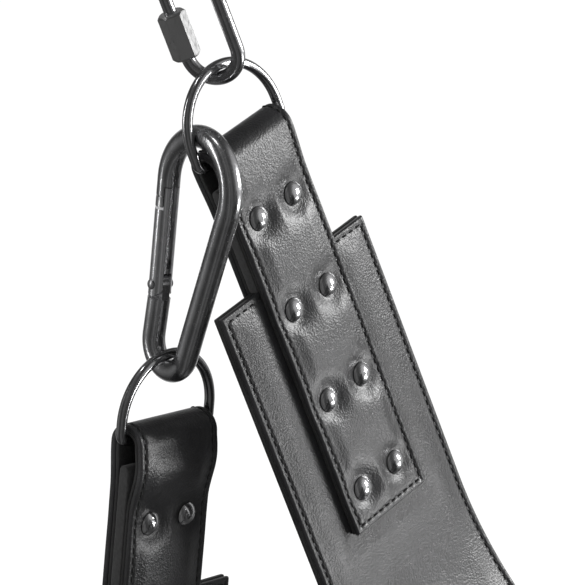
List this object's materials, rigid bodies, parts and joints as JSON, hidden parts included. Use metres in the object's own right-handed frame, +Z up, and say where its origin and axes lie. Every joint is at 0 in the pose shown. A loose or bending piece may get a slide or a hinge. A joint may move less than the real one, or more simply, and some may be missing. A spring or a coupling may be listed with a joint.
{
  "type": "belt swing seat",
  "caption": "Hanging swing seat with a wide leather back belt and a wide leather seat belt, joined by D-rings, snap hooks and screw quick links.",
  "frame": {"origin": "midpoint between the centres of the two hanging eyes", "axes": "+X from the left eye to the right eye, +Y the way the back belt leans, +Z up"},
  "size_m": [0.5362, 0.2564, 0.7048],
  "materials": {
    "black_leather": "smooth semi-gloss",
    "backing_leather": "smooth satin",
    "felt": "matt felt filler",
    "ring_nickel": "polished dark nickel",
    "hook_nickel": "polished dark nickel",
    "link_steel": "bright zinc",
    "rivet_nickel": "polished nickel",
    "bright_steel": "drawn steel"
  },
  "bodies": {
    "hang_links": {"quick_link_left": "link_steel", "quick_link_right": "link_steel"},
    "sleeve_left": {"link_sleeve_left": "link_steel"},
    "sleeve_right": {"link_sleeve_right": "link_steel"},
    "back_belt": {"back_ring_left": "ring_nickel", "back_ring_right": "ring_nickel", "back_belt_face": "black_leather", "back_belt_core": "felt", "back_belt_backing": "backing_leather", "back_strap_left": "black_leather", "back_strap_right": "black_leather", "back_lining_left": "backing_leather", "back_lining_right": "backing_leather", "back_filler_left": "felt", "back_filler_right": "felt", "back_rivet_caps": "rivet_nickel", "back_rivet_posts": "rivet_nickel"},
    "hook_left": {"hook_frame_left": "hook_nickel", "gate_pin_left": "bright_steel"},
    "hook_right": {"hook_frame_right": "hook_nickel", "gate_pin_right": "bright_steel"},
    "gate_left": {"hook_gate_left": "hook_nickel", "gate_plunger_left": "bright_steel", "gate_spring_left": "bright_steel"},
    "gate_right": {"hook_gate_right": "hook_nickel", "gate_plunger_right": "bright_steel", "gate_spring_right": "bright_steel"},
    "seat_belt": {"seat_ring_left": "ring_nickel", "seat_ring_right": "ring_nickel", "seat_belt_face": "black_leather", "seat_belt_core": "felt", "seat_belt_backing": "backing_leather", "seat_strap_left": "black_leather", "seat_strap_right": "black_leather", "seat_lining_left": "backing_leather", "seat_lining_right": "backing_leather", "seat_filler_left": "felt", "seat_filler_right": "felt", "seat_rivet_caps": "rivet_nickel", "seat_rivet_posts": "rivet_nickel"}
  },
  "joints": [
    {"name": "back_swing", "type": "hinge", "parent": "hang_links", "child": "back_belt", "pos_m": [0, 0.01453, -0.04343], "axis": [1, 0, 0], "range_deg": [-35, 30]},
    {"name": "hook_swing_left", "type": "hinge", "parent": "back_belt", "child": "hook_left", "pos_m": [0, -0.00167, -0.06733], "axis": [1, 0, 0], "range_deg": [-25, 4]},
    {"name": "hook_swing_right", "type": "hinge", "parent": "back_belt", "child": "hook_right", "pos_m": [0, -0.00167, -0.06733], "axis": [1, 0, 0], "range_deg": [-25, 4]},
    {"name": "seat_swing", "type": "hinge", "parent": "hook_left", "child": "seat_belt", "pos_m": [0, -0.00639, -0.17629], "axis": [1, 0, 0], "range_deg": [-30, 25]},
    {"name": "gate_open_left", "type": "hinge", "parent": "hook_left", "child": "gate_left", "pos_m": [-0.24983, -0.00204, -0.13825], "axis": [0.1736, 0.9824, -0.0687], "range_deg": [0, 22], "stiffness_Nm_per_rad": 0.02, "springref_deg": -11.46},
    {"name": "gate_open_right", "type": "hinge", "parent": "hook_right", "child": "gate_right", "pos_m": [0.24983, -0.00204, -0.13825], "axis": [0.1736, -0.9824, 0.0687], "range_deg": [0, 22], "stiffness_Nm_per_rad": 0.02, "springref_deg": -11.46},
    {"name": "sleeve_slide_left", "type": "slide", "parent": "hang_links", "child": "sleeve_left", "axis": [-0.1736, -0.3125, 0.9339], "range_m": [0, 0.0115]},
    {"name": "sleeve_slide_right", "type": "slide", "parent": "hang_links", "child": "sleeve_right", "axis": [0.1736, -0.3125, 0.9339], "range_m": [0, 0.0115]}
  ],
  "couplings": [
    {"joint": "hook_swing_right", "follows": "hook_swing_left", "ratio": 1}
  ]
}
